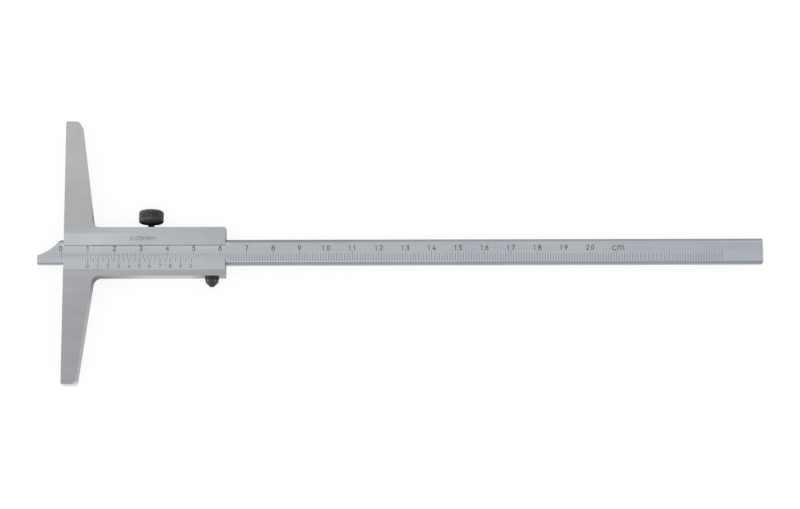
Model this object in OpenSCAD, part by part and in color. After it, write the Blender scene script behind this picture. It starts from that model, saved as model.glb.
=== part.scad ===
// Vernier depth gauge: a one-piece bridge and slider, and a beam that slides through it.
// The gauge lies on its back. X runs along the beam, with the measuring face at zero and the
// nose towards minus X. Y runs along the bridge, and Z points out of the graduated side.

/* [Frame] */
// Length of the measuring face, over both arms
bridge_len = 100.6; // [70:0.1:150]
// Thickness of the arms and the slider
frame_t = 7.6; // [7.2:0.1:9]
// Length of the slider, from the measuring face to its rear end
slider_len = 61; // [60:0.5:75]
// Height of the slider
slider_h = 18.6; // [18:0.1:22]
// Width of an arm where it meets the slider
arm_root_w = 11; // [8:0.1:14]
// Width of an arm at its tip
arm_tip_w = 5.4; // [4:0.1:7]
// Radius of the outer corner at an arm's tip
arm_tip_r = 1.8; // [0.5:0.1:3]
// Radius of the fillet between an arm and the slider
arm_root_r = 3; // [0.5:0.1:4]
// Bevel at the two ends of the measuring face
face_end_bevel = 0.4; // [0.1:0.1:0.8]

/* [Window] */
// Height of the open window between the two lips
window_h = 5.2; // [4.6:0.1:6]
// Height over the outer lines of the two sloping lips
lips_h = 14; // [12.5:0.1:15]
// Thickness of a lip at the window
lip_t = 0.9; // [0.5:0.1:1.2]

/* [Beam] */
// Length of the beam, from its nose to its rear end
beam_len = 274.55; // [272:0.05:320]
// Height of the beam
beam_h = 9.6; // [9:0.1:10.4]
// Thickness of the beam
beam_t = 3.5; // [3:0.1:3.8]
// Bevel along the beam's two front edges
beam_bevel = 1; // [0.3:0.1:1.2]
// Bevel round the beam's rear end
beam_end_bevel = 0.3; // [0.1:0.1:0.8]
// Distance from the nose's tip to the beam's full height
nose_len = 8.6; // [7:0.1:9]
// Depth of the nose's hollow curve below the beam's upper edge, at the tip
nose_drop = 5.95; // [5:0.05:6.6]
// Radius of the nose's hollow curve
nose_r = 18; // [12:0.5:30]
// Height of the step under the nose
nose_step_h = 0.45; // [0.3:0.05:0.8]
// Length of the step under the nose
nose_step_len = 12; // [10:0.5:16]
// Depth that the gauge shows at rest
rest_depth = 10.15; // [0:0.05:190]

/* [Graduation] */
// Distance from the nose's tip to the beam's zero line, and from the measuring face to the vernier's
zero_back = 9.15; // [9:0.05:12]
// Length of the graduation on the beam
scale_len = 250; // [240:1:252]
// Distance between two lines on the beam
scale_step = 1; // [0.5:0.5:2]
// Length of every tenth line on the beam
line_ten_len = 3.9; // [3.7:0.1:4.8]
// Length of every fifth line on the beam
line_five_len = 3.5; // [3.3:0.1:3.7]
// Length of the other lines on the beam
line_one_len = 3.2; // [2.8:0.1:3.3]
// Length of the vernier
vernier_len = 39; // [19:1:49]
// Number of divisions on the vernier
vernier_divisions = 20; // [10:10:50]
// Length of every second line on the vernier
vernier_long_len = 2; // [1.5:0.1:2.4]
// Length of the other lines on the vernier
vernier_short_len = 1.3; // [0.8:0.1:1.5]
// Width of a line
line_w = 0.14; // [0.1:0.01:0.2]
// Depth of a line
line_depth = 0.06; // [0.03:0.01:0.1]

/* [Gib and its screws] */
// Thickness of the gib strip
gib_t = 0.8; // [0.6:0.1:1]
// Length of the gib strip
gib_len = 50; // [46:0.5:52]
// Distance from the lock screw to each gib screw
gib_screw_pitch = 17; // [14:0.5:18]
// Thread diameter of the gib screws
gib_screw_d = 2; // [1.6:0.1:2.5]
// Length of the point of a gib screw
gib_screw_point = 0.8; // [0.5:0.1:1]
// Depth of the dimple that a gib screw's point sits in
gib_dimple_depth = 0.3; // [0.2:0.05:0.4]
// Depth of a gib screw's end below the slider's edge
gib_screw_sink = 0.2; // [0.1:0.1:0.5]
// Width of the slot in a gib screw
slot_w = 0.35; // [0.25:0.05:0.5]
// Depth of the slot in a gib screw
slot_depth = 0.6; // [0.4:0.1:1]

/* [Lock screw] */
// Distance from the measuring face to the lock screw
lock_x = 32.6; // [30:0.1:34]
// Thread diameter of the lock screw
lock_d = 3; // [2.5:0.5:4]
// Diameter of the knurled head
knob_d = 9.4; // [8:0.1:14]
// Height of the knurled head
knob_h = 5.1; // [4:0.1:8]
// Radius round the two rims of the knurled head
knob_rim_r = 1.2; // [0.4:0.1:1.5]
// Number of knurl grooves that lean each way round the head
knurl_count = 32; // [16:1:36]
// Lean of a knurl groove from the head's axis, in degrees
knurl_lean = 30; // [20:1:35]
// Depth of the right-hand knurl grooves halfway up the head
knurl_depth = 0.3; // [0.2:0.01:0.35]
// Depth of the left-hand knurl grooves, which are a little shallower
knurl_left_depth = 0.26; // [0.1:0.01:0.3]
// Length of the neck that shows between the slider and the head
neck_len = 1.9; // [1:0.1:4]
// Diameter of the neck, which clears the thread's end
neck_d = 2.4; // [2:0.1:2.5]
// Diameter of the spigot that holds the clamp pad
spigot_d = 1.6; // [1.2:0.1:1.8]
// Length of the spigot that holds the clamp pad
spigot_len = 0.6; // [0.4:0.1:0.7]
// Height of the clamp pad
pad_h = 1.2; // [1:0.1:1.6]

/* [Thumb stud] */
// Distance from the measuring face to the thumb stud
stud_x = 55.9; // [50:0.1:57]
// Diameter of the thumb stud's collar, at the slider
stud_collar_d = 5.4; // [5:0.1:6.5]
// Height of the thumb stud's collar
stud_collar_h = 0.95; // [0.6:0.05:2]
// Diameter in the ring groove below the collar
stud_groove_d = 4.5; // [4:0.1:4.6]
// Width of the ring groove below the collar
stud_groove_w = 0.2; // [0.1:0.05:0.5]
// Diameter of the thumb stud's body, below the ring groove
stud_body_d = 5; // [4.7:0.1:5.4]
// Height of the thumb stud's body
stud_body_h = 1; // [0.5:0.1:3]
// Diameter of the thumb stud at its tip
stud_tip_d = 1.5; // [0.8:0.1:2]
// Height of the thumb stud's cone
stud_cone_h = 1.7; // [1:0.05:3]
// Diameter of the peg that holds the thumb stud
stud_peg_d = 3; // [2:0.1:3.5]
// Length of the peg that holds the thumb stud
stud_peg_len = 3; // [2:0.1:3.2]

/* [Clearances] */
// Running gap between the beam and the slider, on each side
run_gap = 0.04; // [0.02:0.01:0.08]
// Free space behind the gib, which its screws take up
gib_play = 0.3; // [0.2:0.05:0.5]
// Radial gap between a screw and its hole
thread_gap = 0.05; // [0.03:0.01:0.08]
// Gap between a piece and the seat that it rests in
seat_gap = 0.02; // [0.01:0.01:0.05]

/* [Hidden] */
$fn = 96;
// How far a cutting shape runs past the surface that it cuts
overrun = 1;

slider_top = slider_h / 2;
mid_z = frame_t / 2;
beam_top = beam_h / 2;
beam_front = mid_z + beam_t / 2;
beam_tip = -rest_depth;
channel_bottom = -beam_top - run_gap;
channel_top = beam_top + run_gap + gib_t + gib_play;
channel_back = mid_z - beam_t / 2 - run_gap;
channel_front = beam_front + run_gap;
gib_top = beam_top + run_gap + gib_t;
lip_front = channel_front + lip_t;
lip_slope = atan((frame_t - lip_front) / (lips_h / 2 - window_h / 2));
knob_bottom = slider_top + neck_len;
pad_d = lock_d;
pad_top = gib_top + pad_h;
gib_screw_xs = [lock_x - gib_screw_pitch, lock_x + gib_screw_pitch];

// A vector's direction
function direction(v) = v / norm(v);
// The point as far past b as b is from a
function past(a, b) = b + (b - a);
// Half the angle between the two edges that meet at corner p
function half_angle(p, a, b) = acos(direction(a - p) * direction(b - p)) / 2;
// Where a round of radius r leaves the edge from corner p to point a
function leaves(p, a, b, r) = p + direction(a - p) * r / tan(half_angle(p, a, b));
// Centre of a round of radius r in the corner p between points a and b
function round_centre(p, a, b, r) =
    p + direction(direction(a - p) + direction(b - p)) * r / sin(half_angle(p, a, b));

// Corners of one arm, before they are rounded
tip_corner = [arm_tip_w, bridge_len / 2];
root_corner = [arm_root_w, slider_top];
face_corner = [0, bridge_len / 2];
slider_corner = [slider_len, slider_top];
// Distance from a round's centre to the two edges that it joins, as a share of its radius.
// It is just under one, so that the round crosses the edges cleanly.
inset_share = 0.998;
tip_inset = inset_share * arm_tip_r;
root_inset = inset_share * arm_root_r;
tip_centre = round_centre(tip_corner, face_corner, root_corner, tip_inset);
root_centre = round_centre(root_corner, tip_corner, slider_corner, root_inset);

// Half of the frame's outline. A circle hollows out the fillet at the arm's root.
module half_outline() {
    difference() {
        polygon([
            [0, 0],
            face_corner - [0, face_end_bevel],
            face_corner + [face_end_bevel, 0],
            tip_corner,
            leaves(root_corner, tip_corner, slider_corner, root_inset),
            root_centre,
            leaves(root_corner, slider_corner, tip_corner, root_inset),
            slider_corner,
            [slider_len, 0]
        ]);
        translate(root_centre) circle(r = arm_root_r);
        tip_waste();
    }
}

// What is cut off an arm's tip to leave its round
module tip_waste() {
    difference() {
        polygon([
            tip_centre,
            past(tip_centre, leaves(tip_corner, face_corner, root_corner, tip_inset)),
            past(tip_centre, tip_corner),
            past(tip_centre, leaves(tip_corner, root_corner, face_corner, tip_inset))
        ]);
        translate(tip_centre) circle(r = arm_tip_r);
    }
}

// Shapes drawn in Y and Z and run along X
module along_x(start, length) {
    translate([start, 0, 0]) rotate([90, 0, 90]) linear_extrude(length) children();
}

// Shapes drawn about Z and stood up along Y
module along_y(x, y) {
    translate([x, y, mid_z]) rotate([-90, 0, 0]) children();
}

// Channel for the beam and the gib, open to the front through the window
module channel_profile() {
    polygon([
        [-window_h / 2, channel_front],
        [channel_bottom, channel_front],
        [channel_bottom, channel_back],
        [channel_top, channel_back],
        [channel_top, channel_front],
        [window_h / 2, channel_front],
        [window_h / 2, lip_front],
        [lips_h / 2, frame_t],
        [lips_h / 2, frame_t + overrun],
        [-lips_h / 2, frame_t + overrun],
        [-lips_h / 2, frame_t],
        [-window_h / 2, lip_front]
    ]);
}

// One line of the vernier, at its place on the sloping lip
module vernier_line(x, length) {
    translate([x, -window_h / 2, lip_front]) rotate([-lip_slope, 0, 0])
        translate([-line_w / 2, -length, -line_depth])
            cube([line_w, length + overrun, line_depth + overrun]);
}

module frame() {
    color("silver") difference() {
        linear_extrude(frame_t) {
            half_outline();
            mirror([0, 1]) half_outline();
        }
        along_x(-overrun, slider_len + 2 * overrun) channel_profile();
        along_y(lock_x, channel_top - overrun)
            cylinder(d = lock_d + 2 * thread_gap, h = slider_top - channel_top + 2 * overrun);
        for (x = gib_screw_xs)
            along_y(x, channel_top - overrun)
                cylinder(d = gib_screw_d + 2 * thread_gap, h = slider_top - channel_top + 2 * overrun);
        along_y(stud_x, -slider_top - overrun)
            cylinder(d = stud_peg_d + 2 * seat_gap, h = stud_peg_len + seat_gap + overrun);
        for (i = [0:vernier_divisions])
            vernier_line(
                zero_back + i * vernier_len / vernier_divisions,
                i % 2 == 0 ? vernier_long_len : vernier_short_len
            );
    }
}

// Side view of the beam, seen from the front, with its nose and rear end
module beam_outline() {
    nose_corner = [nose_len, beam_top];
    tip_point = [0, beam_top - nose_drop];
    chord = nose_corner - tip_point;
    bow = sqrt(pow(nose_r, 2) - pow(norm(chord) / 2, 2));
    hollow_centre = (nose_corner + tip_point) / 2 + direction([-chord.y, chord.x]) * bow;
    difference() {
        polygon([
            [0, -beam_top + nose_step_h],
            [nose_step_len - nose_step_h, -beam_top + nose_step_h],
            [nose_step_len, -beam_top],
            [beam_len - beam_end_bevel, -beam_top],
            [beam_len, -beam_top + beam_end_bevel],
            [beam_len, beam_top - beam_end_bevel],
            [beam_len - beam_end_bevel, beam_top],
            [0, beam_top]
        ]);
        translate(hollow_centre) circle(r = nose_r);
    }
}

// Section of the beam in Y and Z, with its two front edges bevelled
module beam_section() {
    polygon([
        [-beam_top, mid_z - beam_t / 2],
        [beam_top, mid_z - beam_t / 2],
        [beam_top, beam_front - beam_bevel],
        [beam_top - beam_bevel, beam_front],
        [-beam_top + beam_bevel, beam_front],
        [-beam_top, beam_front - beam_bevel]
    ]);
}

function beam_line_len(i) = i % 10 == 0 ? line_ten_len : i % 5 == 0 ? line_five_len : line_one_len;

module beam() {
    color("lightsteelblue") difference() {
        intersection() {
            translate([beam_tip, 0, 0]) linear_extrude(frame_t) beam_outline();
            along_x(beam_tip - overrun, beam_len + 2 * overrun) beam_section();
        }
        for (i = [0:scale_len / scale_step])
            translate([
                beam_tip + zero_back + i * scale_step - line_w / 2,
                -beam_top + beam_bevel,
                beam_front - line_depth
            ])
                cube([line_w, beam_line_len(i), line_depth + overrun]);
    }
}

// Strip between the beam's upper edge and the slider, with a dimple under each gib screw
module gib() {
    color("goldenrod") difference() {
        translate([lock_x - gib_len / 2, gib_top - gib_t, mid_z - beam_t / 2])
            cube([gib_len, gib_t, beam_t]);
        for (x = gib_screw_xs)
            along_y(x, gib_top - gib_dimple_depth)
                cylinder(
                    d1 = point_d(0) + 2 * seat_gap,
                    d2 = point_d(gib_dimple_depth + overrun) + 2 * seat_gap,
                    h = gib_dimple_depth + overrun
                );
    }
}

// Diameter of a gib screw's point, at a height above its flat end
function point_d(height) =
    gib_screw_d * (gib_point_share + (1 - gib_point_share) * height / gib_screw_point);
// Flat end of a gib screw's point, as a share of its thread
gib_point_share = 0.2;

// Two slotted screws without heads, which set the gib against the beam
module gib_screws() {
    foot = gib_top - gib_dimple_depth + seat_gap;
    length = slider_top - gib_screw_sink - foot;
    color("dimgray") for (x = gib_screw_xs)
        along_y(x, foot) difference() {
            union() {
                cylinder(d1 = point_d(0), d2 = gib_screw_d, h = gib_screw_point);
                translate([0, 0, gib_screw_point])
                    cylinder(d = gib_screw_d, h = length - gib_screw_point);
            }
            translate([-gib_screw_d / 2 - overrun, -slot_w / 2, length - slot_depth])
                cube([gib_screw_d + 2 * overrun, slot_w, slot_depth + overrun]);
        }
}

// Small cup between the lock screw's tip and the gib, which doesn't turn with the screw
module clamp_pad() {
    color("gold") along_y(lock_x, gib_top) difference() {
        cylinder(d = pad_d, h = pad_h);
        translate([0, 0, pad_h - spigot_len - seat_gap])
            cylinder(d = spigot_d + 2 * thread_gap, h = spigot_len + seat_gap + overrun);
    }
}

// Half section of the knurled head, with round rims
module knob_section() {
    square([knob_d / 2 - knob_rim_r, knob_h]);
    translate([0, knob_rim_r]) square([knob_d / 2, knob_h - 2 * knob_rim_r]);
    for (y = [knob_rim_r, knob_h - knob_rim_r])
        translate([knob_d / 2 - knob_rim_r, y]) circle(r = knob_rim_r);
}

// Knurl grooves that lean one way round the head: straight V cuts, deepest halfway up
module knurl(lean, depth) {
    cut_len = knob_h / cos(lean) + 2 * overrun;
    for (i = [0:knurl_count - 1])
        rotate(i * 360 / knurl_count)
            translate([knob_d / 2 - depth, 0, knob_h / 2]) rotate([lean, 0, 0])
                linear_extrude(cut_len, center = true)
                    polygon([[0, 0], [overrun, overrun], [overrun, -overrun]]);
}

module lock_screw() {
    color("darkslategray") {
        along_y(lock_x, pad_top - spigot_len) cylinder(d = spigot_d, h = spigot_len + seat_gap);
        along_y(lock_x, pad_top) cylinder(d = lock_d, h = slider_top - pad_top);
        along_y(lock_x, slider_top) cylinder(d = neck_d, h = neck_len);
        along_y(lock_x, knob_bottom) difference() {
            rotate_extrude() knob_section();
            knurl(knurl_lean, knurl_depth);
            knurl(-knurl_lean, knurl_left_depth);
        }
    }
}

// Pressed-in stud under the slider, which the thumb pushes
module thumb_stud() {
    groove_y = -slider_top - stud_collar_h - stud_groove_w;
    color("black") {
        along_y(stud_x, groove_y - stud_body_h - stud_cone_h)
            cylinder(d1 = stud_tip_d, d2 = stud_body_d, h = stud_cone_h);
        along_y(stud_x, groove_y - stud_body_h) cylinder(d = stud_body_d, h = stud_body_h);
        along_y(stud_x, groove_y) cylinder(d = stud_groove_d, h = stud_groove_w);
        along_y(stud_x, -slider_top - stud_collar_h) cylinder(d = stud_collar_d, h = stud_collar_h);
        along_y(stud_x, -slider_top) cylinder(d = stud_peg_d, h = stud_peg_len);
    }
}

frame();
beam();
gib();
gib_screws();
clamp_pad();
lock_screw();
thumb_stud();
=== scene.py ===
from math import atan, cos, radians, sin

import bpy
from mathutils import Matrix, Vector


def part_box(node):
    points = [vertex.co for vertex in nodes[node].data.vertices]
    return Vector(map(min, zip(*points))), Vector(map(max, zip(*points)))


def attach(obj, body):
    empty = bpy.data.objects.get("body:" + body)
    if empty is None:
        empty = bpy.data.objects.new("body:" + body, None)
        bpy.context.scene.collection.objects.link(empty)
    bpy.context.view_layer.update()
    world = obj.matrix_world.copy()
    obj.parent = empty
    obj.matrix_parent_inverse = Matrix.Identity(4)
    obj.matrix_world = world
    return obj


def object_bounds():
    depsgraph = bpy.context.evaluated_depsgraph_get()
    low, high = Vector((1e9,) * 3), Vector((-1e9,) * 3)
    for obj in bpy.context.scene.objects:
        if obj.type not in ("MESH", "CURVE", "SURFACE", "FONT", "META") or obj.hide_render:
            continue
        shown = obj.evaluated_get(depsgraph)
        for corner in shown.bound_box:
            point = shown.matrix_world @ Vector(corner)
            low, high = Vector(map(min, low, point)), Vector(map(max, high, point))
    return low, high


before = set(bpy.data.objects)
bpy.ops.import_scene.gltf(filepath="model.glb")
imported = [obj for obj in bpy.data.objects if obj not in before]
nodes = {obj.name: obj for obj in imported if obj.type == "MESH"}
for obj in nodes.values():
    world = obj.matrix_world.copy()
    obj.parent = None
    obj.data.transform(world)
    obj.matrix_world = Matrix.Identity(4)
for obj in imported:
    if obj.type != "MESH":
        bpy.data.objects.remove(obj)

mm = 0.001
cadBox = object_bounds()
scene = bpy.context.scene
scene.view_settings.view_transform = "Standard"
print("frame loaded:", ", ".join(sorted(nodes)))


# the photograph's view: a long lens, a little below square on

camera = {
    "lens": 101.75, "sensor": 36,          # mm
    "place": (125.37, -144.98, 848.65),    # mm
    "tilt": 9.682,             # degrees; seen from the thumb stud's side
    "yaw": -0.111,
    "roll": 0.141,
    "clipStart": 0.01,         # m
}


def setCamera():
    data = bpy.data.cameras.new("photoCamera")
    data.lens = camera["lens"]
    data.sensor_width = camera["sensor"]
    data.clip_start = camera["clipStart"]
    obj = bpy.data.objects.new("photoCamera", data)
    scene.collection.objects.link(obj)
    turn = (Matrix.Rotation(radians(camera["tilt"]), 4, "X")
            @ Matrix.Rotation(radians(camera["yaw"]), 4, "Y")
            @ Matrix.Rotation(radians(-camera["roll"]), 4, "Z"))
    obj.matrix_world = Matrix.Translation(Vector(camera["place"]) * mm) @ turn
    scene.camera = obj


setCamera()
print("camera set")


# colours and node helpers; ns and ls are a material's nodes and links

def tone(r, g, b):
    # a colour as it looks on screen, 0 to 255, turned into Blender's linear values
    def linear(c):
        c /= 255
        return c / 12.92 if c <= 0.04045 else ((c + 0.055) / 1.055) ** 2.4
    return (linear(r), linear(g), linear(b), 1)


def grey(level):
    return (level, level, level, 1)


def newMaterial(name):
    mat = bpy.data.materials.new(name)
    mat.use_nodes = True
    return mat, mat.node_tree.nodes, mat.node_tree.links, mat.node_tree.nodes["Principled BSDF"]


def grain(ns, ls, coord, stretch, detail, rough=0.6):
    # noise in object space; stretch is in waves per metre along X, Y and Z
    mapping = ns.new("ShaderNodeMapping")
    mapping.inputs["Scale"].default_value = stretch
    ls.new(coord, mapping.inputs["Vector"])
    noise = ns.new("ShaderNodeTexNoise")
    noise.inputs["Scale"].default_value = 1.0
    noise.inputs["Detail"].default_value = detail
    noise.inputs["Roughness"].default_value = rough
    ls.new(mapping.outputs["Vector"], noise.inputs["Vector"])
    return noise.outputs["Fac"]


def spread(ns, ls, value, low, high, fromLow=0.3, fromHigh=0.7):
    # low up to fromLow, high from fromHigh on, and even between them
    node = ns.new("ShaderNodeMapRange")
    node.inputs["From Min"].default_value = fromLow
    node.inputs["From Max"].default_value = fromHigh
    node.inputs["To Min"].default_value = low
    node.inputs["To Max"].default_value = high
    ls.new(value, node.inputs["Value"])
    return node.outputs["Result"]


def combine(ns, ls, a, b, how="ADD"):
    node = ns.new("ShaderNodeMath")
    node.operation = how
    for i, v in enumerate((a, b)):
        if isinstance(v, (int, float)):
            node.inputs[i].default_value = v
        else:
            ls.new(v, node.inputs[i])
    return node.outputs["Value"]


def times(ns, ls, a, b):
    return combine(ns, ls, a, b, "MULTIPLY")


def blendColour(ns, ls, fac, a, b, how="MIX"):
    node = ns.new("ShaderNodeMix")
    node.data_type = "RGBA"
    node.blend_type = how
    for socket, v in (("Factor_Float", fac), ("A_Color", a), ("B_Color", b)):
        target = next(s for s in node.inputs if s.identifier == socket)
        if hasattr(v, "links"):
            ls.new(v, target)
        else:
            target.default_value = v
    return next(s for s in node.outputs if s.identifier == "Result_Color")


def axes(ns, ls, vector):
    # the vector's outputs "X", "Y" and "Z"
    split = ns.new("ShaderNodeSeparateXYZ")
    ls.new(vector, split.inputs[0])
    return split.outputs


def wornEdge(ns, ls, width, lean=(0.80, 0.995)):
    # 1 on an edge, 0 on a flat: how far the rounded normal leans from the true one
    bevel = ns.new("ShaderNodeBevel")
    bevel.samples = 6
    bevel.inputs["Radius"].default_value = width
    geometry = ns.new("ShaderNodeNewGeometry")
    dot = ns.new("ShaderNodeVectorMath")
    dot.operation = "DOT_PRODUCT"
    ls.new(bevel.outputs["Normal"], dot.inputs[0])
    ls.new(geometry.outputs["Normal"], dot.inputs[1])
    return spread(ns, ls, dot.outputs["Value"], 1, 0, *lean), bevel.outputs["Normal"]


def openness(ns, ls, reach, samples, ownOnly=False):
    # 1 in the open, less where something is within reach
    around = ns.new("ShaderNodeAmbientOcclusion")
    around.only_local = ownOnly
    around.samples = samples
    around.inputs["Distance"].default_value = reach
    return around.outputs["AO"]


def addBump(ns, ls, shader, height, rounded, strength, depth):
    bump = ns.new("ShaderNodeBump")
    bump.inputs["Strength"].default_value = strength
    bump.inputs["Distance"].default_value = depth
    ls.new(height, bump.inputs["Height"])
    ls.new(rounded, bump.inputs["Normal"])
    ls.new(bump.outputs["Normal"], shader.inputs["Normal"])


# ground and satin-plated steel

grind = {
    # what both steels share
    "streaks": (18, 900, 900), "clouds": (55, 60, 60), "specks": (4200, 4200, 4200),
    "cloudMix": 0.55, "streakMix": 0.3, "lineMix": 0.25,
    "bumpDepth": 0.05 * mm, "speckBump": 0.4,
    # painted shade for the steels' corners and creases, and how open a spot must be to escape it
    "paintedCornerShade": tone(70, 72, 76), "cornerOpen": (0.40, 0.97),
    # how squarely a face looks along Y or out of the front
    "endOn": (0.3, 0.95), "front": (0.70, 0.90), "square": (0.80, 0.95),
}
frameSteel = {
    "base": tone(176, 177, 179), "dark": tone(162, 163, 165), "edge": tone(200, 202, 205),
    "rough": (0.34, 0.46), "edgeWidth": 0.14 * mm, "edgeMix": 0.55,
    "lines": (90, 5200, 5200), "lineBump": 0.05,
    # painted sheen and shade on the side faces: lighter where they face along Y, darker where they slant
    "sideShading": tone(198, 199, 203), "slantShading": tone(160, 162, 165), "sideMix": 0.85,
    "corners": 0.5, "reach": 6 * mm,
    # painted sheen: the lips are painted paler, the lower one a little bluish; towards the bottom the frame
    # is painted darker, a painted shade
    "lipY": 6.99 * mm, "lipSoft": 0.03 * mm, "middleY": (-0.5 * mm, 0.5 * mm),
    "lip": tone(181, 185, 190), "lipDark": tone(169, 173, 178),
    "upperLip": tone(178, 181, 183), "upperLipSheenDark": tone(166, 169, 172),
    # painted shade: the frame is darker from a little above its middle downwards
    "lowY": (-27 * mm, 4 * mm), "lowShade": (0.835, 0.845, 0.86, 1),
    # a faint painted shade line runs along the lower lip's outer edge near the measuring face
    "shadeLineY": -7.03 * mm, "shadeLineHalf": 0.28 * mm, "shadeLineX": (12 * mm, 24 * mm),
    "shadeLine": 0.35, "shadeLineTone": tone(96, 98, 102),
    # painted sheen on the slider's upper margin, and painted shade towards the far ends of both margins
    "marginSheenX": (12 * mm, 26 * mm), "marginSheen": 0.20, "marginSheenTone": tone(214, 216, 219),
    "farShadeX": (16 * mm, 58 * mm), "farShadeY": (0, 2 * mm), "farShade": 0.855,
    "lowFarShadeX": (20 * mm, 58 * mm), "lowSoft": 0.1 * mm, "lowFarShade": 0.90,
    # painted shade on its sides where the arms branch off, a painted shadow near the thumb stud, and
    # painted shade along the window's edge
    "rootX": (9.6 * mm, 11 * mm, 30.5 * mm), "rootShade": tone(50, 52, 55),
    "studShadowX": (47 * mm, 53 * mm), "studShadow": 0.50,
    "windowY": (2.8 * mm, 3.0 * mm), "windowShade": 0.42,
    # painted sheen: the lower arm's end face is painted bright
    "tipY": (-49.8 * mm, -48.6 * mm), "tip": 0.65, "tipTone": tone(236, 238, 236),
}
beamSteel = {
    "base": tone(178, 181, 186), "dark": tone(163, 167, 173), "edge": tone(232, 235, 239),
    "rough": (0.26, 0.36), "edgeWidth": 0.10 * mm, "edgeMix": 0.8,
    "lines": (45, 6800, 6800), "lineBump": 0.06,
    "sideShading": tone(108, 110, 114), "slantShading": tone(108, 110, 114), "sideMix": 0.40,    # painted shade on the milled bevels
    "corners": 0.3, "reach": 5 * mm,
    "endX": (236 * mm, 254 * mm), "endShade": (0.90, 0.91, 0.955, 1),     # painted shade towards its free end
    # painted shade on the upper edge band next to the slider
    "topX": (105 * mm, 140 * mm), "topY": (3.1 * mm, 3.8 * mm), "topShade": 0.84,
    # behind the slider the steel between the lines is painted a little lighter, a painted sheen, and in the
    # band of lines the painted edge highlight is cut back
    "lineSheenX": (54 * mm, 64 * mm), "lineSheen": 0.07, "lineSheenTone": tone(226, 229, 233),
    "linesY": (-3.7 * mm, -0.2 * mm), "linesSoft": (0.1 * mm, 0.4 * mm), "linesSheenCut": 0.8,
    # painted highlights on the lower edge next to the slider and on the upper one at the free end
    "lowEdgeHighlightX": (145 * mm, 172 * mm), "lowEdgeHighlightY": (-3.7 * mm, -3.45 * mm), "rim": 0.38,
    "topEdgeHighlightY": (3.35 * mm, 3.8 * mm), "topEdgeHighlight": 0.35,
    # the lips throw light on the beam between them
    "lipReach": 6 * mm, "lipOpen": (0.75, 1.0), "bounce": 0.34, "bounceTone": tone(222, 227, 232),
}


def frameFront(ns, ls, look, place, shade, colour):
    # painted shade, darker towards the bottom
    low = spread(ns, ls, place["Y"], 1, 0, *look["lowY"])
    colour = blendColour(ns, ls, low, colour, look["lowShade"], "MULTIPLY")
    # painted sheen on the slider's upper margin
    onMarginSheen = times(ns, ls, spread(ns, ls, place["X"], 0, look["marginSheen"], *look["marginSheenX"]),
                     spread(ns, ls, place["Y"], 0, 1, 0, look["lipY"]))
    colour = blendColour(ns, ls, onMarginSheen, colour, look["marginSheenTone"])
    offMiddle = combine(ns, ls, place["Y"], 0, "ABSOLUTE")
    lipEnd = look["lipY"]
    onLip = spread(ns, ls, offMiddle, 1, 0, lipEnd - look["lipSoft"], lipEnd + look["lipSoft"])
    # painted sheen on the sloped lips, paler than the front, the lower one bluish
    upperLipSheenTone = blendColour(ns, ls, shade, look["upperLip"], look["upperLipSheenDark"])
    lowerLipSheenTone = blendColour(ns, ls, shade, look["lip"], look["lipDark"])
    above = spread(ns, ls, place["Y"], 0, 1, *look["middleY"])
    colour = blendColour(ns, ls, onLip, colour, blendColour(ns, ls, above, lowerLipSheenTone, upperLipSheenTone))
    # painted shade towards the far end, on the upper half and on the lower margin
    farShade = times(ns, ls, spread(ns, ls, place["X"], 0, 1, *look["farShadeX"]),
                 spread(ns, ls, place["Y"], 0, 1, *look["farShadeY"]))
    colour = blendColour(ns, ls, farShade, colour, grey(look["farShade"]), "MULTIPLY")
    lowFarShade = times(ns, ls, spread(ns, ls, place["X"], 0, 1, *look["lowFarShadeX"]),
                    spread(ns, ls, place["Y"], 1, 0, -lipEnd - look["lowSoft"], -lipEnd))
    colour = blendColour(ns, ls, lowFarShade, colour, grey(look["lowFarShade"]), "MULTIPLY")
    # a thin painted shade line at the lower lip's outer edge
    offShadeLine = combine(ns, ls, place["Y"], look["shadeLineY"], "SUBTRACT")
    offShadeLine = combine(ns, ls, offShadeLine, 0, "ABSOLUTE")
    onShadeLine = times(ns, ls, spread(ns, ls, offShadeLine, look["shadeLine"], 0, 0, look["shadeLineHalf"]),
                     spread(ns, ls, place["X"], 1, 0, *look["shadeLineX"]))
    return blendColour(ns, ls, onShadeLine, colour, look["shadeLineTone"])


def frameSides(ns, ls, look, place, colour):
    armStart, arm, armEnd = look["rootX"]
    # painted shade where the arms branch off, a painted shadow of the thumb stud, and painted shade along
    # the window's edge
    atRoot = times(ns, ls, spread(ns, ls, place["X"], 0, 1, armStart, arm),
                   spread(ns, ls, place["X"], 1, 0, arm, armEnd))
    inStudShadow = spread(ns, ls, place["X"], 0, look["studShadow"], *look["studShadowX"])
    offMiddle = combine(ns, ls, place["Y"], 0, "ABSOLUTE")
    windowShade = spread(ns, ls, offMiddle, look["windowShade"], 0, *look["windowY"])
    shaded = combine(ns, ls, combine(ns, ls, atRoot, inStudShadow, "MAXIMUM"), windowShade, "MAXIMUM")
    colour = blendColour(ns, ls, shaded, colour, look["rootShade"])
    # a painted sheen on the lower arm's end face
    onTipSheen = spread(ns, ls, place["Y"], look["tip"], 0, *look["tipY"])
    return blendColour(ns, ls, onTipSheen, colour, look["tipTone"])


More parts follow.
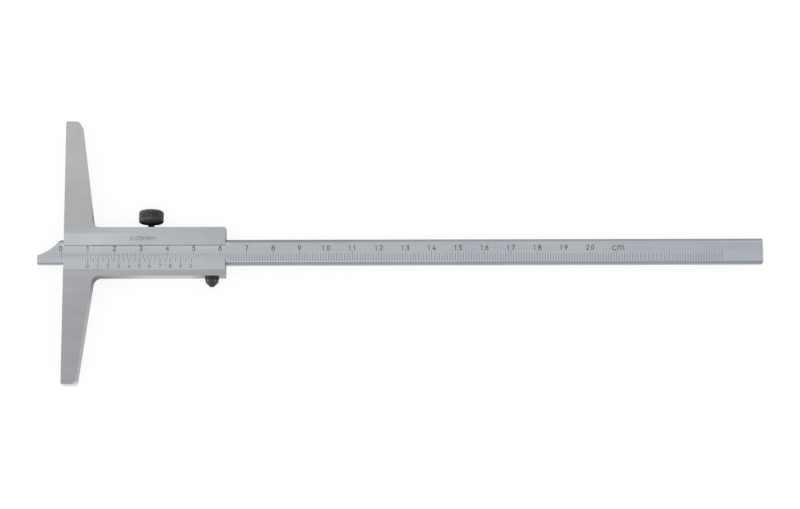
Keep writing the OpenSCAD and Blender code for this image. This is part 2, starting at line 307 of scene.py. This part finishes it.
def beamFront(ns, ls, look, place, facing, colour, edge):
    # painted shade towards the free end
    atEnd = spread(ns, ls, place["X"], 0, 1, *look["endX"])
    colour = blendColour(ns, ls, atEnd, colour, look["endShade"], "MULTIPLY")
    # painted shade on the upper edge band next to the slider
    atTop = times(ns, ls, spread(ns, ls, place["Y"], 0, 1, *look["topY"]),
                  spread(ns, ls, place["X"], 1, 0, *look["topX"]))
    colour = blendColour(ns, ls, atTop, colour, grey(look["topShade"]), "MULTIPLY")
    (low, high), (lowSoft, highSoft) = look["linesY"], look["linesSoft"]
    inLines = times(ns, ls, spread(ns, ls, place["Y"], 0, 1, low - lowSoft, low + lowSoft),
                    spread(ns, ls, place["Y"], 1, 0, high - highSoft, high + highSoft))
    # painted sheen on the steel between the lines
    lineSheen = spread(ns, ls, place["X"], 0, look["lineSheen"], *look["lineSheenX"])
    colour = blendColour(ns, ls, times(ns, ls, inLines, lineSheen), colour, look["lineSheenTone"])
    # painted highlights on the lower edge next to the slider and on the upper edge at the free end
    onLowEdgeHighlight = times(ns, ls, spread(ns, ls, place["Y"], look["rim"], 0, *look["lowEdgeHighlightY"]),
                  spread(ns, ls, place["X"], 1, 0, *look["lowEdgeHighlightX"]))
    onTopEdgeHighlight = times(ns, ls, spread(ns, ls, place["Y"], 0, look["topEdgeHighlight"], *look["topEdgeHighlightY"]), atEnd)
    onFront = spread(ns, ls, facing["Z"], 0, 1, *grind["square"])
    onEdgeHighlights = times(ns, ls, combine(ns, ls, onLowEdgeHighlight, onTopEdgeHighlight), onFront)
    colour = blendColour(ns, ls, onEdgeHighlights, colour, look["edge"])
    lipsNear = openness(ns, ls, look["lipReach"], 6)
    bounce = times(ns, ls, spread(ns, ls, lipsNear, look["bounce"], 0, *look["lipOpen"]), onFront)
    colour = blendColour(ns, ls, bounce, colour, look["bounceTone"])
    # the painted edge highlight is cut back on the upper edge band next to the slider and in the band of
    # lines
    edgeSheenCut = combine(ns, ls, atTop, times(ns, ls, inLines, look["linesSheenCut"]), "MAXIMUM")
    return colour, times(ns, ls, edge, combine(ns, ls, 1, edgeSheenCut, "SUBTRACT"))


def groundSteel(name, look):
    mat, ns, ls, shader = newMaterial(name)
    coord = ns.new("ShaderNodeTexCoord").outputs["Object"]
    place = axes(ns, ls, coord)
    facing = axes(ns, ls, ns.new("ShaderNodeNewGeometry").outputs["True Normal"])
    lines = grain(ns, ls, coord, look["lines"], 3)
    streaks = grain(ns, ls, coord, grind["streaks"], 2)
    clouds = grain(ns, ls, coord, grind["clouds"], 3)
    specks = grain(ns, ls, coord, grind["specks"], 1)
    edge, rounded = wornEdge(ns, ls, look["edgeWidth"])
    shade = combine(ns, ls, spread(ns, ls, clouds, 0, grind["cloudMix"]),
                    spread(ns, ls, streaks, 0, grind["streakMix"]))
    shade = combine(ns, ls, shade, spread(ns, ls, lines, 0, grind["lineMix"]))
    colour = blendColour(ns, ls, shade, look["base"], look["dark"])
    if look is frameSteel:
        colour = frameFront(ns, ls, look, place, shade, colour)
    # side faces get painted tones by the way they face: a painted sheen on the frame, a painted shade on
    # the beam
    endOn = spread(ns, ls, combine(ns, ls, facing["Y"], 0, "ABSOLUTE"), 0, 1, *grind["endOn"])
    sideShadingColour = blendColour(ns, ls, endOn, look["slantShading"], look["sideShading"])
    if look is frameSteel:
        sideShadingColour = frameSides(ns, ls, look, place, sideShadingColour)
    onSide = spread(ns, ls, facing["Z"], look["sideMix"], 0, *grind["front"])
    colour = blendColour(ns, ls, onSide, colour, sideShadingColour)
    if look is beamSteel:
        colour, edge = beamFront(ns, ls, look, place, facing, colour, edge)
    # painted shade: the steel is darker in its own corners and creases
    corner = openness(ns, ls, look["reach"], 6, ownOnly=True)
    paintedCornerShade = spread(ns, ls, corner, look["corners"], 0, *grind["cornerOpen"])
    colour = blendColour(ns, ls, paintedCornerShade, colour, grind["paintedCornerShade"])
    # edges are lighter, partly wear and partly a painted highlight
    colour = blendColour(ns, ls, times(ns, ls, edge, look["edgeMix"]), colour, look["edge"])
    ls.new(colour, shader.inputs["Base Color"])
    rough = combine(ns, ls, times(ns, ls, clouds, 0.5), times(ns, ls, specks, 0.5))
    ls.new(spread(ns, ls, rough, *look["rough"]), shader.inputs["Roughness"])
    height = combine(ns, ls, lines, times(ns, ls, specks, grind["speckBump"]))
    addBump(ns, ls, shader, height, rounded, look["lineBump"], grind["bumpDepth"])
    shader.inputs["Metallic"].default_value = 1.0
    return mat


# black oxide, brass, plain screw steel and the dark fill in the lines

turning = {
    # what the small turned pieces share
    "coarser": 6, "speckMix": 0.22, "mottleWear": (0.2, 1.0), "bump": 0.12, "bumpDepth": 0.03 * mm,
    "gapReach": 5 * mm, "gapOpen": (0.25, 0.80), "shineFrom": 0.3,
}
blackOxide = {
    "base": tone(47, 51, 49), "worn": tone(168, 171, 169), "rough": (0.10, 0.20), "shine": 0.42,
    "edgeWidth": 0.065 * mm, "wear": 0.75, "specks": 2600, "gaps": 0.45,
    # painted shade on the head's underside and on the neck
    "under": (-0.22, -0.03), "underRimShade": 0.33, "flat": (-0.99, -0.93), "underFlatShade": 0.62,
    "neckY": (11.0 * mm, 11.35 * mm), "neck": 0.35,
}
studOxide = {
    "base": tone(23, 26, 23), "worn": tone(96, 99, 95), "rough": (0.20, 0.32), "shine": 0.35,
    "edgeWidth": 0.08 * mm, "wear": 0.45, "specks": 3200, "gaps": 0.3,
}
innerBrass = {
    "base": tone(196, 164, 98), "worn": tone(226, 200, 142), "rough": (0.30, 0.45),
    "edgeWidth": 0.08 * mm, "wear": 0.5, "specks": 3000,
}
screwSteel = {
    "base": tone(150, 151, 154), "worn": tone(196, 197, 200), "rough": (0.28, 0.42),
    "edgeWidth": 0.05 * mm, "wear": 0.5, "specks": 5000,
}
figureFill = {"base": tone(30, 32, 36), "worn": tone(58, 60, 66), "rough": (0.5, 0.75)}
lineFill = {"base": tone(56, 60, 68), "worn": tone(88, 93, 102), "rough": (0.5, 0.75)}
vernierFill = {"base": tone(60, 68, 84), "worn": tone(92, 101, 118), "rough": (0.5, 0.75)}


def underHead(ns, ls, look, coord):
    # painted shade on the lock screw: darker on faces turned down under the head, less on the flat
    # underside, and darker on its neck
    facing = axes(ns, ls, ns.new("ShaderNodeNewGeometry").outputs["True Normal"])
    rim = spread(ns, ls, facing["Y"], look["underRimShade"], 1, *look["under"])
    flat = spread(ns, ls, facing["Y"], look["underFlatShade"], 0, *look["flat"])
    onNeck = spread(ns, ls, axes(ns, ls, coord)["Y"], look["neck"], 1, *look["neckY"])
    return times(ns, ls, combine(ns, ls, rim, flat, "MAXIMUM"), onNeck)


def turnedMetal(name, look, metallic, rings=(700, 9000, 700)):
    # fine rings round the axis, a mottled finish, brighter on worn edges
    mat, ns, ls, shader = newMaterial(name)
    coord = ns.new("ShaderNodeTexCoord").outputs["Object"]
    mottle = grain(ns, ls, coord, (look["specks"] / turning["coarser"],) * 3, 4)
    specks = grain(ns, ls, coord, (look["specks"],) * 3, 2)
    edge, rounded = wornEdge(ns, ls, look["edgeWidth"])
    wear = times(ns, ls, edge, spread(ns, ls, mottle, *turning["mottleWear"]))
    speckMix = spread(ns, ls, specks, 0, turning["speckMix"])
    colour = blendColour(ns, ls, speckMix, look["base"], look["worn"])
    colour = blendColour(ns, ls, times(ns, ls, wear, look["wear"]), colour, look["worn"])
    if "gaps" in look:      # little light gets into a narrow gap
        around = openness(ns, ls, turning["gapReach"], 8)
        light = spread(ns, ls, around, look["gaps"], 1, *turning["gapOpen"])
        if "under" in look:
            light = times(ns, ls, light, underHead(ns, ls, look, coord))
        colour = blendColour(ns, ls, 1, colour, light, "MULTIPLY")
        shine = spread(ns, ls, light, 0, look["shine"], turning["shineFrom"], 1)
        ls.new(shine, shader.inputs["Specular IOR Level"])
    ls.new(colour, shader.inputs["Base Color"])
    ls.new(spread(ns, ls, mottle, *look["rough"]), shader.inputs["Roughness"])
    height = combine(ns, ls, grain(ns, ls, coord, rings, 1), specks)
    addBump(ns, ls, shader, height, rounded, turning["bump"], turning["bumpDepth"])
    shader.inputs["Metallic"].default_value = metallic
    return mat


def darkFill(name, look, waves=1500, wornMix=0.35):
    mat, ns, ls, shader = newMaterial(name)
    coord = ns.new("ShaderNodeTexCoord").outputs["Object"]
    mottle = grain(ns, ls, coord, (waves, waves, waves), 3)
    colour = blendColour(ns, ls, spread(ns, ls, mottle, 0, wornMix), look["base"], look["worn"])
    ls.new(colour, shader.inputs["Base Color"])
    ls.new(spread(ns, ls, mottle, *look["rough"]), shader.inputs["Roughness"])
    return mat


finishes = {
    "frame": groundSteel("satinFrameSteel", frameSteel),
    "beam": groundSteel("groundBeamSteel", beamSteel),
    "lock_screw": turnedMetal("blackOxideScrew", blackOxide, 0.0),
    "thumb_stud": turnedMetal("blackOxideStud", studOxide, 0.0),
    "gib": turnedMetal("gibBrass", innerBrass, 1.0, rings=(60, 7000, 7000)),    # rolled along X
    "clamp_pad": turnedMetal("padBrass", innerBrass, 1.0),
    "gib_screws": turnedMetal("gibScrewSteel", screwSteel, 1.0),
}
for nodeName, mat in finishes.items():
    nodes[nodeName].data.materials.clear()
    nodes[nodeName].data.materials.append(mat)
figurePaint = darkFill("figurePaint", figureFill)
linePaint = darkFill("linePaint", lineFill)
vernierPaint = darkFill("vernierPaint", vernierFill)
print("finishes on", len(finishes), "nodes")


# where the scales lie, in millimetres

beamLow, beamHigh = (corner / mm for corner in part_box("beam"))
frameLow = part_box("frame")[0] / mm
zeroBack = 9.15        # nose tip to the beam's zero, and measuring face to the vernier's zero

beamScale = {
    "zeroX": beamLow.x + zeroBack, "count": 251, "foot": -3.8, "front": beamHigh.z,
    "ten": 3.9, "five": 3.5, "one": 3.2,
    "rubbed": 0.25,        # the paint is rubbed off next to the edge
    "width": 0.132, "floor": 0.058, "sink": 0.016, "clear": 0.004,
}
vernierScale = {
    "zeroX": frameLow.x + zeroBack, "pitch": 1.95, "count": 21, "long": 2.0, "short": 1.3,
    "width": 0.132, "floor": 0.058, "sink": 0.014, "clear": 0.004, "top": -0.01,
}
lips = {"edgeY": 2.6, "edgeZ": 6.49, "rise": 1.11, "run": 4.4}     # both lips slope up from the window


def lipPlane(side):
    # 1 for the upper lip, -1 for the lower
    edge = Vector((0, side * lips["edgeY"], lips["edgeZ"]))
    return Matrix.Translation(edge) @ Matrix.Rotation(side * atan(lips["rise"] / lips["run"]), 4, "X")


lowerLip, upperLip = lipPlane(-1), lipPlane(1)
beamFace = Matrix.Translation(Vector((0, 0, beamScale["front"])))


def meshPiece(name, verts, faces, place, mat, body, slot):
    data = bpy.data.meshes.new(name)
    data.from_pydata([(place @ Vector(v)) * mm for v in verts], [], faces)
    data.validate()
    data.materials.append(mat)
    obj = bpy.data.objects.new(name, data)
    scene.collection.objects.link(obj)
    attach(obj, body)


def fillStrips(strips, scale):
    # one thin closed bar of paint in each engraved line, a little below the steel
    verts, faces = [], []
    half = scale["width"] / 2
    for x, low, high in strips:
        n = len(verts)
        for z in (-scale["floor"], -scale["sink"]):
            verts += [(x - half, low, z), (x + half, low, z), (x + half, high, z), (x - half, high, z)]
        faces += [(n + 3, n + 2, n + 1, n), (n + 4, n + 5, n + 6, n + 7)]
        faces += [(n + i, n + (i + 1) % 4, n + 4 + (i + 1) % 4, n + 4 + i) for i in range(4)]
    return verts, faces


def beamLine(i):
    # X, lower end and upper end, which is short of the steel by a hair
    foot = beamScale["foot"]
    length = beamScale["ten"] if i % 10 == 0 else beamScale["five"] if i % 5 == 0 else beamScale["one"]
    return beamScale["zeroX"] + i, foot + beamScale["rubbed"], foot + length - beamScale["clear"]


def vernierLine(i):
    length = vernierScale["short"] if i % 2 else vernierScale["long"]
    return (vernierScale["zeroX"] + i * vernierScale["pitch"], -length + vernierScale["clear"],
            vernierScale["top"])


beamLines = [beamLine(i) for i in range(beamScale["count"])]
vernierLines = [vernierLine(i) for i in range(vernierScale["count"])]
meshPiece("beamLineFill", *fillStrips(beamLines, beamScale),
          beamFace, linePaint, "beam", "beam_steel")
meshPiece("vernierLineFill", *fillStrips(vernierLines, vernierScale),
          lowerLip, vernierPaint, "frame", "satin_steel")
print("lines filled:", len(beamLines), "on the beam,", len(vernierLines), "on the vernier")


# engraved figures are single strokes in a box one unit high

def arc(cx, cy, rx, ry, start, end, steps=12):
    turns = [radians(start + (end - start) * i / steps) for i in range(steps + 1)]
    return [(cx + rx * cos(a), cy + ry * sin(a)) for a in turns]


def humps(x):
    # one leg of an m, with the arch before it
    return arc(x + 0.27, 0.74, 0.27, 0.26, 180, 0) + [(x + 0.54, 0)]


figureStrokes = {
    "0": [arc(0.28, 0.5, 0.28, 0.5, 90, 450, 24)],
    "1": [[(0.08, 0.80), (0.28, 1.0), (0.28, 0)]],
    "2": [arc(0.28, 0.72, 0.27, 0.28, 165, -30) + [(0.0, 0.0), (0.58, 0.0)]],
    "3": [arc(0.27, 0.75, 0.25, 0.25, 155, -90) + arc(0.27, 0.26, 0.29, 0.26, 80, -150)],
    "4": [[(0.44, 0), (0.44, 1.0), (0.0, 0.28), (0.60, 0.28)]],
    "5": [[(0.54, 1.0), (0.10, 1.0), (0.05, 0.55)] + arc(0.27, 0.33, 0.29, 0.33, 125, -145)],
    "6": [[(0.46, 1.0), (0.16, 0.70)] + arc(0.28, 0.31, 0.28, 0.31, 160, 520, 24)],
    "7": [[(0.0, 1.0), (0.57, 1.0), (0.20, 0)]],
    "8": [arc(0.30, 0.76, 0.28, 0.24, -90, 270, 20), arc(0.30, 0.26, 0.31, 0.26, 90, 450, 22)],
    "9": [arc(0.28, 0.69, 0.28, 0.31, -20, 340, 24) + [(0.40, 0.30), (0.12, 0)]],
    ".": [[(0.05, 0.02), (0.09, 0.02)]],
    "c": [arc(0.36, 0.5, 0.36, 0.5, 42, 318, 18)],
    "m": [[(0, 1.0), (0, 0)], humps(0), humps(0.54)],
}
digitWidth = 0.56
otherWidths = {".": 0.14, "c": 0.70, "m": 1.08}


def strokeRibbon(points, width, z, thick, sharpest=0.55):
    # a flat closed ribbon along a stroke, mitred at its bends
    pts = [Vector(p) for p in points]
    closed = (pts[0] - pts[-1]).length < 1e-6
    verts, faces = [], []
    for i, p in enumerate(pts):
        before = pts[i - 1] if i else (pts[-2] if closed else None)
        after = pts[i + 1] if i < len(pts) - 1 else (pts[1] if closed else None)
        d0 = (p - before).normalized() if before is not None else (after - p).normalized()
        d1 = (after - p).normalized() if after is not None else d0
        along = (d0 + d1).normalized()
        side = Vector((-along.y, along.x)) * width / 2 / max(along.dot(d1), sharpest)
        if not closed and i in (0, len(pts) - 1):      # square ends run on by half a width
            p = p + along * width / 2 * (-1 if i == 0 else 1)
        for s, h in ((side, z), (-side, z), (-side, z + thick), (side, z + thick)):
            verts.append((p.x + s.x, p.y + s.y, h))
    count = len(pts) - 1
    for i in range(count):
        a, b = 4 * i, 4 * (i + 1)
        faces += [(a + k, a + (k + 1) % 4, b + (k + 1) % 4, b + k) for k in range(4)]
    if not closed:
        faces += [(3, 2, 1, 0), tuple(4 * count + k for k in range(4))]
    return verts, faces


def figuresMesh(words, look):
    # words holds (text, centre X, foot Y); figures stand side by side at the look's pitch
    verts, faces = [], []
    size, gap = look["height"], look["gap"]
    wider = look.get("widen", 1) * size
    for text, centre, foot in words:
        widths = [otherWidths.get(ch, digitWidth) * wider for ch in text]
        x = centre - (sum(widths) + gap * (len(text) - 1)) / 2
        for ch, wide in zip(text, widths):
            tall = size * (look.get("smallLetters", 1) if ch.isalpha() else 1)
            for stroke in figureStrokes[ch]:
                points = [(x + px * wider, foot + py * tall) for px, py in stroke]
                v, f = strokeRibbon(points, look["stroke"], look["under"], look["thick"])
                n = len(verts)
                verts += v
                faces += [tuple(n + k for k in face) for face in f]
            x += wide + gap
    return verts, faces


beamFigures = {
    "height": 1.72, "gap": 0.86, "stroke": 0.27, "under": -0.02, "thick": 0.032, "foot": 0.62,
    "zeroShift": -0.33,        # the 0 stands a little before its line
}
unitMark = {
    "height": 1.62, "gap": 0.63, "stroke": 0.26, "under": -0.02, "thick": 0.032, "foot": 0.40,
    "fromZero": 210.6, "widen": 1.27,
}
vernierFigures = {
    "height": 1.42, "gap": 0.5, "stroke": 0.17, "under": -0.02, "thick": 0.03, "foot": -3.86,
}
accuracyMark = {
    "height": 1.38, "gap": 0.42, "stroke": 0.16, "under": -0.02, "thick": 0.03, "foot": 1.86,
    "middleX": 29.7, "widen": 1.27, "smallLetters": 0.80,
}

beamWords = [(str(i), beamScale["zeroX"] + 10 * i, beamFigures["foot"]) for i in range(1, 21)]
beamWords.append(("0", beamScale["zeroX"] + beamFigures["zeroShift"], beamFigures["foot"]))
unitWords = [("cm", beamScale["zeroX"] + unitMark["fromZero"], unitMark["foot"])]
vernierWords = [(str(i % 10), vernierScale["zeroX"] + 2 * vernierScale["pitch"] * i, vernierFigures["foot"])
                for i in range(11)]
accuracyWords = [("0.05mm", accuracyMark["middleX"], accuracyMark["foot"])]
meshPiece("beamFigures", *figuresMesh(beamWords, beamFigures),
          beamFace, figurePaint, "beam", "beam_steel")
meshPiece("beamUnitMark", *figuresMesh(unitWords, unitMark),
          beamFace, figurePaint, "beam", "beam_steel")
meshPiece("vernierFigures", *figuresMesh(vernierWords, vernierFigures),
          lowerLip, vernierPaint, "frame", "satin_steel")
meshPiece("accuracyMark", *figuresMesh(accuracyWords, accuracyMark),
          upperLip, vernierPaint, "frame", "satin_steel")
print("figures cut: 0 to 20 and cm on the beam, 0 to 0 and 0.05 mm on the slider")


# a white table under two long softboxes, with four low lamps for the black pieces

studio = {
    "floorSize": 8.0, "floorDrop": 0.01 * mm, "floorAlbedo": 0.18, "floorGlow": 0.87, "sky": 0.70,
    "aim": (0.12, 0, 0),
    "lamps": (
        # name, place, size, power in watts, nodes that it lights
        ("backSoftbox", (0.10, 0.23, 0.45), (1.1, 0.12), 0.20, ()),
        ("frontSoftbox", (0.10, -0.30, 0.60), (1.2, 0.15), 0.55, ()),
        ("leftSoftbox", (-0.42, 0.00, 0.12), (0.34, 0.20), 3.0, ("thumb_stud",)),
        ("rightSoftbox", (0.55, 0.00, 0.24), (0.34, 0.24), 0.8, ("thumb_stud",)),
        ("leftKnobLamp", (-0.385, -0.09, 0.13), (0.08, 0.08), 2.9, ("lock_screw",)),
        ("rightKnobLamp", (0.36, -0.16, 0.25), (0.08, 0.08), 0.5, ("lock_screw",)),
    ),
}


def seenDirectly(ns, ls):
    # 1 for what the camera, a reflection or glass looks at, 0 for the light that a surface gathers
    path = ns.new("ShaderNodeLightPath")
    total = combine(ns, ls, path.outputs["Is Camera Ray"], path.outputs["Is Glossy Ray"], "MAXIMUM")
    return combine(ns, ls, total, path.outputs["Is Transmission Ray"], "MAXIMUM")


def setFloor():
    half = studio["floorSize"] / 2
    z = cadBox[0].z - studio["floorDrop"]
    data = bpy.data.meshes.new("whiteTable")
    data.from_pydata([(-half, -half, z), (half, -half, z), (half, half, z), (-half, half, z)],
                     [], [(0, 1, 2, 3)])
    mat = bpy.data.materials.new("whiteTableTop")
    mat.use_nodes = True
    ns, ls = mat.node_tree.nodes, mat.node_tree.links
    ns.clear()
    diffuse = ns.new("ShaderNodeBsdfDiffuse")
    diffuse.inputs["Color"].default_value = grey(studio["floorAlbedo"])
    glow = ns.new("ShaderNodeEmission")
    ls.new(times(ns, ls, seenDirectly(ns, ls), studio["floorGlow"]), glow.inputs["Strength"])
    add = ns.new("ShaderNodeAddShader")
    ls.new(diffuse.outputs[0], add.inputs[0])
    ls.new(glow.outputs[0], add.inputs[1])
    ls.new(add.outputs[0], ns.new("ShaderNodeOutputMaterial").inputs["Surface"])
    data.materials.append(mat)
    obj = bpy.data.objects.new("whiteTable", data)
    scene.collection.objects.link(obj)


def lightOnly(lamp, names):
    # a lamp flagged off from everything but these nodes
    lit = bpy.data.collections.new(lamp.name + "Lights")
    for n in names:
        lit.objects.link(nodes[n])
    lamp.light_linking.receiver_collection = lit


def setLight():
    world = bpy.data.worlds.new("whiteStudio")
    scene.world = world
    world.use_nodes = True
    ns, ls = world.node_tree.nodes, world.node_tree.links
    sky = ns["Background"]
    sky.inputs["Color"].default_value = (1, 1, 1, 1)
    ls.new(spread(ns, ls, seenDirectly(ns, ls), studio["sky"], 1.0, 0, 1), sky.inputs["Strength"])
    for name, place, size, power, lit in studio["lamps"]:
        data = bpy.data.lights.new(name, "AREA")
        data.shape = "RECTANGLE"
        data.size, data.size_y = size
        data.energy = power
        obj = bpy.data.objects.new(name, data)
        obj.location = place
        aim = Vector(studio["aim"]) - Vector(place)
        obj.rotation_euler = aim.to_track_quat("-Z", "Y").to_euler()
        obj.visible_camera = False
        scene.collection.objects.link(obj)
        if lit:
            lightOnly(obj, lit)


setFloor()
setLight()
print("studio set")
